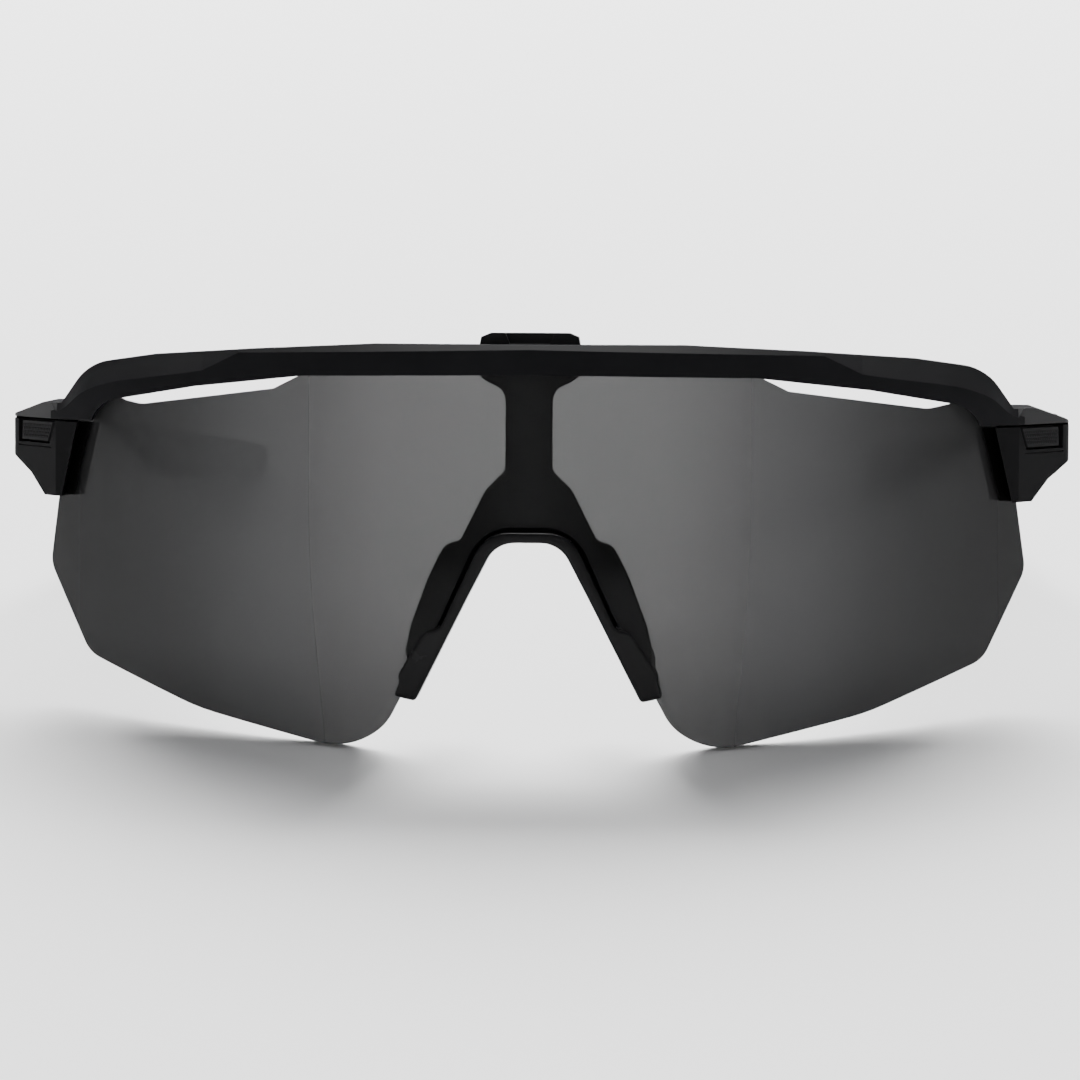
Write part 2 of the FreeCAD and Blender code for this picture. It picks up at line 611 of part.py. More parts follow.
# ---------------------------------------------------------------- temple arm, core wire and grip sleeve
ARM_BEVEL = 0.12
TONGUE_BEVEL = 0.2
GRIP_BEVEL = 0.28
ARM_HOLLOW_LOW = (60.0, 44.0, 5.0)
ARM_ROOF_GAP = 0.3
# The arm's skin starts here, from the hinge's middle, and covers the ears from the outside.
SKIN_STEP = Vector(0.6, -0.5, 0)
SKIN_TOP = 18.0
arm_loft = loft("arm_loft", "temple", TEMPLE_SECTIONS, ARM_BEVEL)
tongue_loft = loft("tongue_loft", "tongue", TONGUE_SECTIONS, TONGUE_BEVEL)
grip_loft = loft("grip_loft", "grip", GRIP_SECTIONS, GRIP_BEVEL)
ear_corner = hinge + Vector(1, 1, 0) * (knuckle_radius + KNUCKLE_GAP)
ear_room = box("ear_room", ARM_HOLLOW_LOW, (ear_corner.x, ear_corner.y, bracket_high + ARM_ROOF_GAP))
skin_corner = hinge + SKIN_STEP
skin_trim = box("skin_trim", ARM_HOLLOW_LOW, (skin_corner.x, skin_corner.y, SKIN_TOP))
CORE_START = Vector(61.0, 92.0, 7.9)
CORE_END = Vector(52.75, 138.0, 5.4)
core_raw = cylinder("core_raw", "Sizes.core_radius", tuple(CORE_START), tuple(CORE_END - CORE_START),
                    (CORE_END - CORE_START).Length)
arm_raw = cut("arm_raw", joined("arm_union", arm_loft, tongue_loft), ear_room, skin_trim, leaf_plate, core_raw,
              *leaf_screws)
grip_raw = cut("grip_raw", grip_loft, tongue_loft)

# ---------------------------------------------------------------- nose pads on their pins
PAD_PIN_TOP = (8.1, -3.6)
PAD_PIN_BOTTOM = (16.3, -19.8)
PAD_FLARE = 0.12
pad_top = surface_point(*PAD_PIN_TOP, "layer_pad_pin")
pad_bottom = surface_point(*PAD_PIN_BOTTOM, "layer_pad_pin")
pad_down = (pad_bottom - pad_top).normalize()
pad_back = Vector(PAD_FLARE, 1.0, 0)
pad_back = (pad_back - pad_down * pad_back.dot(pad_down)).normalize()
pad_side = pad_down.cross(pad_back)
pad_turn = Rotation(pad_down, pad_back, pad_side, "XYZ")
pad_length = (pad_bottom - pad_top).Length
lug_length = of_sheet("pad_lug_length")
pad_low = lug_length + of_sheet("pad_gap")
pad_high = pad_length - lug_length - of_sheet("pad_gap")
pin_line = cylinder("pin_line", "Sizes.pad_pin_radius", tuple(pad_top), tuple(pad_down), pad_length)
pad_bore = cylinder("pad_bore", "Sizes.pad_pin_radius + Sizes.running_play", tuple(pad_top), tuple(pad_down),
                    pad_length)
LUG_HALF = 0.95
LUG_FRONT = -2.6
LUG_BACK = 0.9
nose_lugs = []
for number, start in enumerate((0.0, pad_length - lug_length), 1):
    lug = doc.addObject("Part::Box", f"nose_lug_{number}")
    lug.Length, lug.Width, lug.Height = lug_length, LUG_BACK - LUG_FRONT, 2 * LUG_HALF
    corner = Placement(pad_top, pad_turn).multVec(Vector(start, LUG_FRONT, -LUG_HALF))
    lug.Placement = Placement(corner, pad_turn)
    nose_lugs.append(lug)
PAD_ROUNDING = 0.8
pad_thickness = of_sheet("pad_thickness")
# Down along the pin, and back from it.
pad_outline = [(pad_low, -1.2), (pad_high, -1.2), (pad_high, 5.2), (pad_high - 3.0, 8.6), (pad_low + 5.0, 7.2),
               (pad_low, 3.6)]
pad_place = Placement(pad_top - pad_side * (pad_thickness / 2), pad_turn)
pad_sketch = slanted_polygon("pad_sketch", pad_place, pad_outline)
pad_prism = extrude("pad_prism", pad_sketch, pad_side, pad_thickness)
pad_soft = doc.addObject("Part::Fillet", "pad_soft")
pad_soft.Base = pad_prism
pad_soft.Edges = [(number, PAD_ROUNDING, PAD_ROUNDING) for number in range(1, len(pad_prism.Shape.Edges) + 1)]
doc.recompute()
pad_raw = cut("pad_raw", pad_soft, pad_bore)

# ---------------------------------------------------------------- nose bridge, its latch lever and spring
plate_half = common("plate_half", plate_shell, front_prism("nose_plate", PRISM_START, PRISM_LENGTH))
bead_half = common("bead_half", bead_shell, front_prism("nose_bead", PRISM_START, PRISM_LENGTH))
pivot_y = of_sheet("latch_pivot_y")
pivot_z = of_sheet("latch_pivot_z")
pin_half = of_sheet("latch_pin_half_length")
LUG_FACE = 4.0
LUG_RADIUS = 1.25
LUG_LOW = 18.0
LUG_HIGH = 23.0
lug_block = box("latch_lug_block", (0, LUG_FACE, LUG_LOW), (pin_half, pivot_y, LUG_HIGH))
lug_round = cylinder("latch_lug_round", LUG_RADIUS, (0, pivot_y, pivot_z), (1, 0, 0), pin_half)
lug_side = joined("lug_side", lug_block, lug_round)
latch_lug = common("latch_lug", front_prism("latch_lug", LUG_FACE, 2 * LUG_FACE), lug_side)
latch_pin = cylinder("latch_pin_bar", "Sizes.latch_pin_radius", (-pin_half, pivot_y, pivot_z), (1, 0, 0),
                     2 * pin_half)
bridge_half = joined("bridge_half", plate_half, bead_half, latch_lug, *nose_lugs)
nose_bridge = whole("nose_bridge", cut("bridge_cut", bridge_half, lens_slot, pin_line, latch_pin))

lever_face = of_sheet("lever_front_y")
KNUCKLE_FACE = 5.3
HEEL_FACE = 6.2
KNUCKLE_TOP = 22.5
HEEL_TOP = 20.7
RELIEF_LOW = (-0.1, 3.0, 14.0)
RELIEF_HALF = 8.0
TOOTH_TIP = 3.1
TOOTH_LOW = 23.35
TOOTH_HIGH = 24.35
TOOTH_HALF = 4.5
TOOTH_ROOT = 0.1
THUMB_DEPTH = 0.7
lever_front = front_prism("lever_front", lever_face, of_sheet("lever_thickness"))
knuckle_relief = box("knuckle_relief", RELIEF_LOW, (RELIEF_HALF, KNUCKLE_FACE, KNUCKLE_TOP))
heel_relief = box("heel_relief", RELIEF_LOW, (RELIEF_HALF, HEEL_FACE, HEEL_TOP))
tooth = box("latch_tooth", (0, TOOTH_TIP, TOOTH_LOW), (TOOTH_HALF, lever_face + TOOTH_ROOT, TOOTH_HIGH))
lever_bore = cylinder("lever_bore", "Sizes.latch_pin_radius + Sizes.running_play",
                      (-RELIEF_HALF, pivot_y, pivot_z), (1, 0, 0), 2 * RELIEF_HALF)
thumb_cut = front_prism("thumb_recess", lever_face - THUMB_DEPTH, 2 * THUMB_DEPTH)
lever_half = cut("lever_half", joined("lever_union", lever_front, tooth), knuckle_relief, heel_relief, lever_bore,
                 thumb_cut)
latch_lever = whole("latch_lever", lever_half)

# A bent leaf: its foot on the rear of the nose stem, its tip against the lever's heel.
LATCH_SPRING_HALF = 1.5
LATCH_SPRING_LEAF = 0.2
LATCH_SPRING_SEAT = 18.0
LATCH_SPRING_GAP = 0.02
foot = surface_point(LATCH_SPRING_HALF, LATCH_SPRING_SEAT, "layer_plate_rear").y + LATCH_SPRING_GAP
LATCH_SPRING_BEND = [(foot, 15.6), (foot, 17.6), (foot + 1.1, 19.2), (foot + 1.2, 19.9)]
latch_spring_sketch = slanted_polygon(
    "latch_spring_sketch", Placement(Vector(-LATCH_SPRING_HALF, 0, 0), Rotation(Y_AXIS, Z_AXIS, X_AXIS, "XYZ")),
    LATCH_SPRING_BEND + [(back + LATCH_SPRING_LEAF, height) for back, height in reversed(LATCH_SPRING_BEND)])
latch_spring = extrude("latch_spring_leaf", latch_spring_sketch, X_AXIS, 2 * LATCH_SPRING_HALF)

# ---------------------------------------------------------------- the sub-parts, standing on the table
SIDED = {
    "end_cover": cover_raw,
    "lens_gasket": gasket_raw,
    "release_button": button_raw,
    "button_spring": button_spring_raw,
    "hinge_bracket": bracket_raw,
    "temple_hinge_leaf": leaf_raw,
    "temple_arm": arm_raw,
    "temple_core": core_raw,
    "temple_grip": grip_raw,
    "nose_pad": pad_raw,
    "leaf_screws": group("leaf_screw_pair", *leaf_screws),
}
PAIRED = {
    "bracket_screws": bracket_screw,
    "hinge_screws": hinge_screw_raw,
    "nose_pad_pins": pin_line,
}
SINGLE = {
    "brow_frame": brow_frame,
    "shield_lens": shield_lens,
    "nose_bridge": nose_bridge,
    "latch_lever": latch_lever,
    "latch_pin": latch_pin,
    "latch_spring": latch_spring,
}


def copied(name, source):
    """A refined copy, so that the drawn shape stays where it is and the sub-part can be placed."""
    result = doc.addObject("Part::Refine", name)
    result.Source = source
    return result


nodes = {}
for name, source in SINGLE.items():
    nodes[name] = copied(f"{name}_node", source)
for name, source in SIDED.items():
    nodes[f"{name}_left"] = copied(f"{name}_left_node", source)
    nodes[f"{name}_right"] = mirrored(f"{name}_right_node", source)
for name, source in PAIRED.items():
    nodes[name] = group(f"{name}_node", source, mirrored(f"{name}_mirror", source))
doc.recompute()


def standing(tilt):
    """The turn about X that lowers the temple tips."""
    return Rotation(X_AXIS, -tilt)


def lowest(points, tilt):
    turn = standing(tilt)
    return min(turn.multVec(point).z for point in points)


MESH_STEP = 0.02
HALVINGS = 24
lens_points = shield_lens.Shape.tessellate(MESH_STEP)[0]
grip_points = grip_raw.Shape.tessellate(MESH_STEP)[0]
flat, steep = 5.0, 18.0
for _ in range(HALVINGS):
    tilt = (flat + steep) / 2
    if lowest(lens_points, tilt) < lowest(grip_points, tilt):
        flat = tilt
    else:
        steep = tilt
stood = standing(tilt)
turned = [stood.multVec(point) for node in nodes.values() for point in node.Shape.tessellate(MESH_STEP)[0]]
front = min(point.y for point in turned)
rear = max(point.y for point in turned)
shift = Vector(0, -(front + rear) / 2, -lowest(lens_points, tilt))
stand = Placement(shift, stood)
for name, node in nodes.items():
    node.Label = name
    node.Placement = stand
doc.recompute()

for thing in doc.Objects:
    bad = [word for word in thing.State if word in ("Invalid", "Error")]
    if bad:
        raise RuntimeError(f"{thing.Name}: {bad}")
for name, node in nodes.items():
    if node.Shape.isNull() or not node.Shape.isValid():
        raise RuntimeError(f"{name}: bad shape")
    if not node.Shape.Solids:
        raise RuntimeError(f"{name}: no solid")
    node.Shape.exportStep(f"parts/{name}.step")
print("tilt", round(tilt, 3), "depth", round(rear - front, 2), "shift", [round(step, 3) for step in shift])
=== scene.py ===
"""The looks of the wraparound sport sunglasses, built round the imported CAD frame.

Places are given as the glasses are worn, in millimetres: x to the wearer's left, y back
from the front of the lens, z up.  worn() turns them into the frame, where the glasses
stand on the lens and the temple tips.  Left and right are the wearer's.
"""
import json
import math

import bmesh
import bpy
import numpy as np
from mathutils import Matrix, Vector


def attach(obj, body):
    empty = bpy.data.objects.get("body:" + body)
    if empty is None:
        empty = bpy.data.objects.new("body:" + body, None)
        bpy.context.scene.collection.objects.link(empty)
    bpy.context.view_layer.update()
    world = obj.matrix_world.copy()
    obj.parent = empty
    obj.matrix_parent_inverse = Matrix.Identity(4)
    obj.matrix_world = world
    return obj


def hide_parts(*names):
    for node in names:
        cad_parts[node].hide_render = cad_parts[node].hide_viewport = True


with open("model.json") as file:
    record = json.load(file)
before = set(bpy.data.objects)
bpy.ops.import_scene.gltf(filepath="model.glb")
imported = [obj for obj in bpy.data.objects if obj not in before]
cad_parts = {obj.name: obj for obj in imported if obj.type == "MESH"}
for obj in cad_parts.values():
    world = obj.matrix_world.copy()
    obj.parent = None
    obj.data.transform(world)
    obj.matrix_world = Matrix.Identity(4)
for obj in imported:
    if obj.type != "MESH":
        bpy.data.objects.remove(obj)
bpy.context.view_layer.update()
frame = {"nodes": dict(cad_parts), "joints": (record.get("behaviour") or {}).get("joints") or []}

MM = 0.001
JOINTS = {joint["name"]: joint for joint in frame["joints"]}
NODES = frame["nodes"]

# ---------------------------------------------------------------- the worn frame
HINGE_WORN = Vector((64.6, 47.2, 10.2))      # where part.py puts the middle of the left hinge
ACROSS = Vector((1, 0, 0))
UP = Vector(JOINTS["temple_fold_left"]["axis"]).normalized()
BACK = UP.cross(ACROSS)
WORN_TURN = Matrix((ACROSS, BACK, UP)).transposed()
ORIGIN = Vector(JOINTS["temple_fold_left"]["pos_m"]) - WORN_TURN @ HINGE_WORN * MM


def worn(x, y, z):
    """A place on the worn glasses, in metres in the frame."""
    return ORIGIN + WORN_TURN @ Vector((x, y, z)) * MM


# ---------------------------------------------------------------- camera, stage and lights
# The camera's distance and aim are in mm, and what it can see is in metres.
CAMERA_TURN = math.radians(2.2)
CAMERA_RISE = math.radians(3.0)
CAMERA_ROLL = math.radians(0.3)
CAMERA_DISTANCE = 700
CAMERA_LENS = 181.6
CAMERA_AIM = (1.6, 0, 0)
CAMERA_CLIP = (0.01, 50)


def make_camera():
    """A camera in front of the glasses, a little above them and to one side."""
    back = WORN_TURN @ Vector((
        math.sin(CAMERA_TURN) * math.cos(CAMERA_RISE),
        -math.cos(CAMERA_TURN) * math.cos(CAMERA_RISE),
        math.sin(CAMERA_RISE)))
    right = UP.cross(back).normalized()
    up = back.cross(right)
    turn = Matrix((right, up, back)).transposed() @ Matrix.Rotation(CAMERA_ROLL, 3, "Z")
    data = bpy.data.cameras.new("camera")
    data.lens = CAMERA_LENS
    data.clip_start, data.clip_end = CAMERA_CLIP
    camera = bpy.data.objects.new("camera", data)
    place = worn(*CAMERA_AIM) + back * CAMERA_DISTANCE * MM
    camera.matrix_world = Matrix.Translation(place) @ turn.to_4x4()
    bpy.context.scene.collection.objects.link(camera)
    bpy.context.scene.camera = camera


# The floor and its wall, in metres.
FLOOR_RADIUS = 6.0
WALL_BEND = 0.8
WALL_TOP = 2.4
STAGE_TURNS = 96
BEND_STEPS = 12
PAPER_GREY = 0.93
PAPER_ROUGHNESS = 0.9
PAPER_SPECULAR = 0.1


def make_stage():
    """A pale round floor that curves up into a low wall on every side."""
    profile = [(FLOOR_RADIUS, 0.0)]
    for step in range(1, BEND_STEPS + 1):
        angle = math.pi / 2 * step / BEND_STEPS
        out, rise = WALL_BEND * math.sin(angle), WALL_BEND - WALL_BEND * math.cos(angle)
        profile.append((FLOOR_RADIUS + out, rise))
    profile.append((FLOOR_RADIUS + WALL_BEND, WALL_TOP))
    angles = [2 * math.pi * turn / STAGE_TURNS for turn in range(STAGE_TURNS)]
    circle = [(math.cos(angle), math.sin(angle)) for angle in angles]
    mesh = bpy.data.meshes.new("floor")
    work = bmesh.new()
    rings = []
    for radius, height in profile:
        rings.append([work.verts.new((radius * x, radius * y, height)) for x, y in circle])
    for low, high in zip(rings, rings[1:]):
        for turn in range(STAGE_TURNS):
            after = (turn + 1) % STAGE_TURNS
            work.faces.new((low[turn], high[turn], high[after], low[after])).smooth = True
    work.faces.new(rings[0])
    bmesh.ops.recalc_face_normals(work, faces=work.faces)
    work.to_mesh(mesh)
    work.free()
    floor = bpy.data.objects.new("floor", mesh)
    bpy.context.scene.collection.objects.link(floor)
    material, _, shader = new_material("floor_paper")
    shader.inputs["Base Color"].default_value = (PAPER_GREY, PAPER_GREY, PAPER_GREY, 1)
    shader.inputs["Roughness"].default_value = PAPER_ROUGHNESS
    shader.inputs["Specular IOR Level"].default_value = PAPER_SPECULAR
    mesh.materials.append(material)


def area_light(name, place, aim, size, power):
    """A rectangular light at one place that shines towards another."""
    place = Vector(place)
    turn = (place - Vector(aim)).to_track_quat("Z", "Y")
    data = bpy.data.lights.new(name, "AREA")
    data.shape = "RECTANGLE"
    data.size, data.size_y = size
    data.energy = power
    light = bpy.data.objects.new(name, data)
    light.matrix_world = Matrix.Translation(place) @ turn.to_matrix().to_4x4()
    bpy.context.scene.collection.objects.link(light)
    return light


# Places and sizes are in metres, and powers in watts.
WORLD_COLOUR = (0.97, 0.98, 1, 1)
WORLD_STRENGTH = 0.25
BACK_PLACE = (0, 2.4, 1.9)
BACK_AIM = (0, 0.6, 0)
BACK_SIZE = (3.6, 2.2)
BACK_POWER = 500
TOP_PLACE = (0, 0.1, 1.2)
TOP_AIM = (0, 0.1, 0)
TOP_SIZE = (0.8, 0.6)
TOP_POWER = 52


def make_lights():
    """A large soft light behind and above, a dim sky, and a panel overhead that shows only as gloss."""
    world = bpy.data.worlds.new("world")
    world.use_nodes = True
    background = world.node_tree.nodes["Background"]
    background.inputs["Color"].default_value = WORLD_COLOUR
    background.inputs["Strength"].default_value = WORLD_STRENGTH
    bpy.context.scene.world = world
    area_light("back_softbox", BACK_PLACE, BACK_AIM, BACK_SIZE, BACK_POWER)
    area_light("top_panel", TOP_PLACE, TOP_AIM, TOP_SIZE, TOP_POWER).visible_diffuse = False


# ---------------------------------------------------------------- material blocks
def new_material(name):
    """A material, with its node tree and its shader."""
    material = bpy.data.materials.new(name)
    material.use_nodes = True
    tree = material.node_tree
    return material, tree, tree.nodes["Principled BSDF"]


def node(tree, kind, inputs=None, **settings):
    """A node of this kind, with its settings, and its inputs set or linked."""
    made = tree.nodes.new("ShaderNode" + kind)
    for key, value in settings.items():
        setattr(made, key, value)
    for key, value in (inputs or {}).items():
        if isinstance(value, bpy.types.NodeSocket):
            tree.links.new(value, made.inputs[key])
        else:
            made.inputs[key].default_value = value
    return made


def maths(tree, operation, first, second=0.0, third=0.0):
    return node(tree, "Math", {0: first, 1: second, 2: third}, operation=operation).outputs[0]


def dot(tree, first, second):
    return node(tree, "VectorMath", {0: first, 1: second}, operation="DOT_PRODUCT").outputs["Value"]


def minus(tree, first, second):
    return node(tree, "VectorMath", {0: first, 1: second}, operation="SUBTRACT").outputs["Vector"]


def scaled(tree, vector, factor):
    return node(tree, "VectorMath", {0: vector, 3: factor}, operation="SCALE").outputs["Vector"]


def between(tree, value, low, high):
    """How far a value has come from low to high, kept between 0 and 1."""
    return node(tree, "MapRange", {"Value": value, "From Min": low, "From Max": high}).outputs[0]


def blend(tree, share, low, high):
    """The number that lies this share of the way from low to high."""
    return node(tree, "MapRange", {"Value": share, "To Min": low, "To Max": high}).outputs[0]


def noise(tree, place, size, detail, roughness=0.5):
    """Smooth noise around 0.5, with lumps of this size in mm."""
    made = node(tree, "TexNoise", {
        "Vector": place, "Scale": 1 / (size * MM), "Detail": detail, "Roughness": roughness})
    return made.outputs["Fac"]


def rounded_edges(tree, radius, samples):
    """The normal with the corners rounded to this radius in mm."""
    return node(tree, "Bevel", {"Radius": radius * MM}, samples=samples).outputs[0]


def bumpy(tree, shader, height, depth, normal):
    """Let a height between 0 and 1 stand this many mm high on the surface."""
    bump = node(tree, "Bump", {"Height": height, "Distance": depth * MM, "Normal": normal})
    tree.links.new(bump.outputs[0], shader.inputs["Normal"])


def ramp(tree, value, stops):
    """A smooth curve near stops, evenly spaced pairs of a value and the result."""
    low, high = stops[0][0], stops[-1][0]
    made = node(tree, "ValToRGB", {"Fac": between(tree, value, low, high)})
    made.color_ramp.interpolation = "B_SPLINE"
    elements = made.color_ramp.elements
    while len(elements) < len(stops):
        elements.new(0.5)
    for element, (place, level) in zip(elements, stops):
        element.position = (place - low) / (high - low)
        element.color = (level, level, level, 1)
    return made.outputs["Color"]


# The size of each noise is in mm.  Dust and the lighter edges, partly rubbed wear and partly a painted
# highlight, start and end at a cosine: how far a face looks up, and how far the rounded normal leans
# from the face.
GRAIN_DETAIL = 3.0
GRAIN_ROUGHNESS = 0.6
BROAD_SIZE = 9
BROAD_DETAIL = 4.0
BROAD_ROUGHNESS = 0.55
BROAD_TONES = (0.8, 1.25)
SMEAR_SIZE = 1.6
SMEAR_DETAIL = 2.0
DUST_START = 0.75
DUST_FULL = 0.92
DUST_ROUGHNESS = 1.0
RUB_HIGHLIGHT_START = 0.995
RUB_HIGHLIGHT_FULL = 0.85
RUB_HIGHLIGHT_LIGHTENS = 2.2
RUB_HIGHLIGHT_ADDS = 0.01
MOULDED_BEVEL_SAMPLES = 6


def moulded(name, colour, roughness, specular, grain=0.12, height=0.004, mottle=0.06, edge=0.12):
    """Moulded plastic or rubber: fine grain, uneven gloss, and edges rounded and lighter, partly rubbed
    wear and partly a painted highlight.

    grain and height are the size and depth of the mould's texture, and edge the radius that
    rounds the corners, all in mm.  Faces that look up are dusty, and matt."""
    material, tree, shader = new_material(name)
    place = node(tree, "TexCoord").outputs["Object"]
    broad = noise(tree, place, BROAD_SIZE, BROAD_DETAIL, BROAD_ROUGHNESS)
    smear = noise(tree, place, SMEAR_SIZE, SMEAR_DETAIL)
    flat = node(tree, "NewGeometry").outputs["Normal"]
    rounded = rounded_edges(tree, edge, MOULDED_BEVEL_SAMPLES)
    bumpy(tree, shader, noise(tree, place, grain, GRAIN_DETAIL, GRAIN_ROUGHNESS), height, rounded)
    clean = maths(tree, "MULTIPLY_ADD", broad, mottle * 2, roughness - mottle)
    clean = maths(tree, "MULTIPLY_ADD", smear, mottle, clean)
    dust = between(tree, dot(tree, flat, UP), DUST_START, DUST_FULL)
    tree.links.new(blend(tree, dust, clean, DUST_ROUGHNESS), shader.inputs["Roughness"])
    # Lighter colour at the rounded edges: partly rubbed wear, partly a painted highlight.
    rub_and_highlight = maths(tree, "MULTIPLY", between(tree, dot(tree, flat, rounded), RUB_HIGHLIGHT_START, RUB_HIGHLIGHT_FULL), smear)
    base = scaled(tree, colour, blend(tree, broad, *BROAD_TONES))
    mixed = node(tree, "Mix", {"Factor": rub_and_highlight, "A": base}, data_type="RGBA")
    mixed.inputs["B"].default_value = (*[min(1, part * RUB_HIGHLIGHT_LIGHTENS + RUB_HIGHLIGHT_ADDS) for part in colour], 1)
    tree.links.new(mixed.outputs["Result"], shader.inputs["Base Color"])
    shader.inputs["Specular IOR Level"].default_value = specular
    return material


# The factors multiply a metal's roughness and its colour, and sizes are in mm.
BRUSH_SIZE = 0.6
BRUSH_DETAIL = 4.0
BRUSH_SQUEEZE = 14.0
BRUSH_DEPTH = 0.004
BRUSH_TONES = (0.8, 1.15)
SMUDGE_SIZE = 2.5
SMUDGE_DETAIL = 2.0
SMUDGE_FACTORS = (0.7, 1.4)
METAL_EDGE = 0.08
METAL_BEVEL_SAMPLES = 4


def brushed_metal(name, colour, roughness):
    """Turned or stamped metal, with fine lines that run across z, and smudges."""
    material, tree, shader = new_material(name)
    place = node(tree, "TexCoord").outputs["Object"]
    squeezed = node(tree, "Mapping", {"Vector": place, "Scale": (1.0, 1.0, BRUSH_SQUEEZE)}).outputs[0]
    lines = noise(tree, squeezed, BRUSH_SIZE, BRUSH_DETAIL)
    smudge = noise(tree, place, SMUDGE_SIZE, SMUDGE_DETAIL)
    gloss = blend(tree, smudge, *[roughness * factor for factor in SMUDGE_FACTORS])
    tree.links.new(gloss, shader.inputs["Roughness"])
    bumpy(tree, shader, lines, BRUSH_DEPTH, rounded_edges(tree, METAL_EDGE, METAL_BEVEL_SAMPLES))
    base = scaled(tree, colour, blend(tree, lines, *BRUSH_TONES))
    tree.links.new(base, shader.inputs["Base Color"])
    shader.inputs["Metallic"].default_value = 1.0
    return material


# Factors by the distance across from the middle, in mm: what each face lets through, less towards
# the sides as painted shade for the darkening of the lens's wrap, and a painted reflection, a grey
# put into the lens's colour there.  LENS_UPRIGHT, by the height in mm, lets less through towards the
# bottom.
LENS_CLEAR_WITH_PAINTED_SHADE = [(0, 0.235), (11, 0.24), (22, 0.228), (33, 0.09), (44, 0.045), (55, 0.03), (66, 0.03)]
LENS_PAINTED_REFLECTION_GREY = [(0, 0.018), (11, 0.001), (22, 0.012), (33, 0.096), (44, 0.048), (55, 0.026), (66, 0.004)]
LENS_UPRIGHT = [(-28, 0.70), (-15, 0.88), (-2, 1.0), (11, 1.0), (24, 1.0)]
# LENS_BLUE makes the painted reflection a little bluer.
LENS_BLUE = 1.02
# The lens curves round an upright axis this far back, in mm.  A cut edge is told from the two
# faces by the cosine between its normal and the line from that axis.
LENS_AXIS_BACK = 88
LENS_EDGE_FACING = 0.75
LENS_FACE_FACING = 0.85
LENS_EDGE_CLEAR = 0.25
LENS_SMUDGE_SIZE = 14
LENS_SMUDGE_DETAIL = 5.0
LENS_SMUDGE_ROUGHNESS = 0.6
LENS_SMUDGE_NOISE = (0.35, 0.75)
LENS_ROUGHNESS = (0.015, 0.05)
LENS_IOR = 1.58
LENS_SPECULAR = 0.06


def smoke_lens():
    """Dark polished polycarbonate with solid-looking cut edges; its sides are darkened by painted
    shade, and its colour holds a painted reflection.
    """
    material, tree, shader = new_material("smoke_lens")
    place = node(tree, "TexCoord").outputs["Object"]
    from_origin = minus(tree, place, ORIGIN)
    across = maths(tree, "ABSOLUTE", dot(tree, from_origin, ACROSS / MM))
    height = dot(tree, from_origin, UP / MM)
    # What the lens lets through falls towards the sides: painted shade.
    through = maths(tree, "MULTIPLY", ramp(tree, across, LENS_CLEAR_WITH_PAINTED_SHADE), ramp(tree, height, LENS_UPRIGHT))
    from_axis = minus(tree, place, ORIGIN + BACK * LENS_AXIS_BACK * MM)
    level = minus(tree, from_axis, scaled(tree, UP, dot(tree, from_axis, UP)))
    spoke = node(tree, "VectorMath", {0: level}, operation="NORMALIZE").outputs["Vector"]
    flat = node(tree, "NewGeometry").outputs["True Normal"]
    facing = maths(tree, "ABSOLUTE", dot(tree, flat, spoke))
    face = between(tree, facing, LENS_EDGE_FACING, LENS_FACE_FACING)
    kept = blend(tree, face, LENS_EDGE_CLEAR, 1.0)
    alpha = maths(tree, "SUBTRACT", 1.0, maths(tree, "MULTIPLY", through, kept))
    tree.links.new(alpha, shader.inputs["Alpha"])
    smudge = noise(tree, place, LENS_SMUDGE_SIZE, LENS_SMUDGE_DETAIL, LENS_SMUDGE_ROUGHNESS)
    gloss = blend(tree, between(tree, smudge, *LENS_SMUDGE_NOISE), *LENS_ROUGHNESS)
    tree.links.new(gloss, shader.inputs["Roughness"])
    # The base colour is a painted reflection: a grey, a little blue, standing in for the lens's sheen.
    grey = ramp(tree, across, LENS_PAINTED_REFLECTION_GREY)
    blue = maths(tree, "MULTIPLY", grey, LENS_BLUE)
    painted_reflection_tint = node(tree, "CombineColor", {"Red": grey, "Green": grey, "Blue": blue})
    tree.links.new(painted_reflection_tint.outputs[0], shader.inputs["Base Color"])
    shader.inputs["IOR"].default_value = LENS_IOR
    shader.inputs["Specular IOR Level"].default_value = LENS_SPECULAR
    return material


# ---------------------------------------------------------------- pieces made here
WELD_DISTANCE = 1e-7         # metres
# The size of the even mesh's cells in mm, and how many times it is smoothed.
SOFT_SMOOTHING = 4
GRIP_VOXEL = 0.32
PAD_VOXEL = 0.22
NOSE_VOXEL = 0.2
NOSE_SMOOTHING = 12


def mesh_copy(name, source):
    """A new object with its own copy of a CAD node's mesh, welded."""
    mesh = NODES[source].data.copy()
    mesh.name = name
    mesh.materials.clear()
    work = bmesh.new()
    work.from_mesh(mesh)
    bmesh.ops.remove_doubles(work, verts=work.verts, dist=WELD_DISTANCE)
    work.to_mesh(mesh)
    work.free()
    copy = bpy.data.objects.new(name, mesh)
    bpy.context.scene.collection.objects.link(copy)
    return copy


def apply_modifiers(piece):
    bpy.context.view_layer.update()
    evaluated = piece.evaluated_get(bpy.context.evaluated_depsgraph_get())
    mesh = bpy.data.meshes.new_from_object(evaluated)
    piece.modifiers.clear()
    piece.data = mesh
    mesh.name = piece.name


def remeshed(name, source, voxel, smoothing):
    """A CAD solid as an even mesh with softened corners, ready for surface detail."""
    piece = mesh_copy(name, source)
    remesh = piece.modifiers.new("remesh", "REMESH")
    remesh.mode = "VOXEL"
    remesh.voxel_size = voxel * MM
    smooth = piece.modifiers.new("smooth", "SMOOTH")
    smooth.factor = 0.5
    smooth.iterations = smoothing
    apply_modifiers(piece)
    for polygon in piece.data.polygons:
        polygon.use_smooth = True
    return piece


def looking(share, start):
    """How far the normals look one way: 0 up to a share of start, and 1 straight along it."""
    return np.clip(share - start, 0, None) / (1 - start)


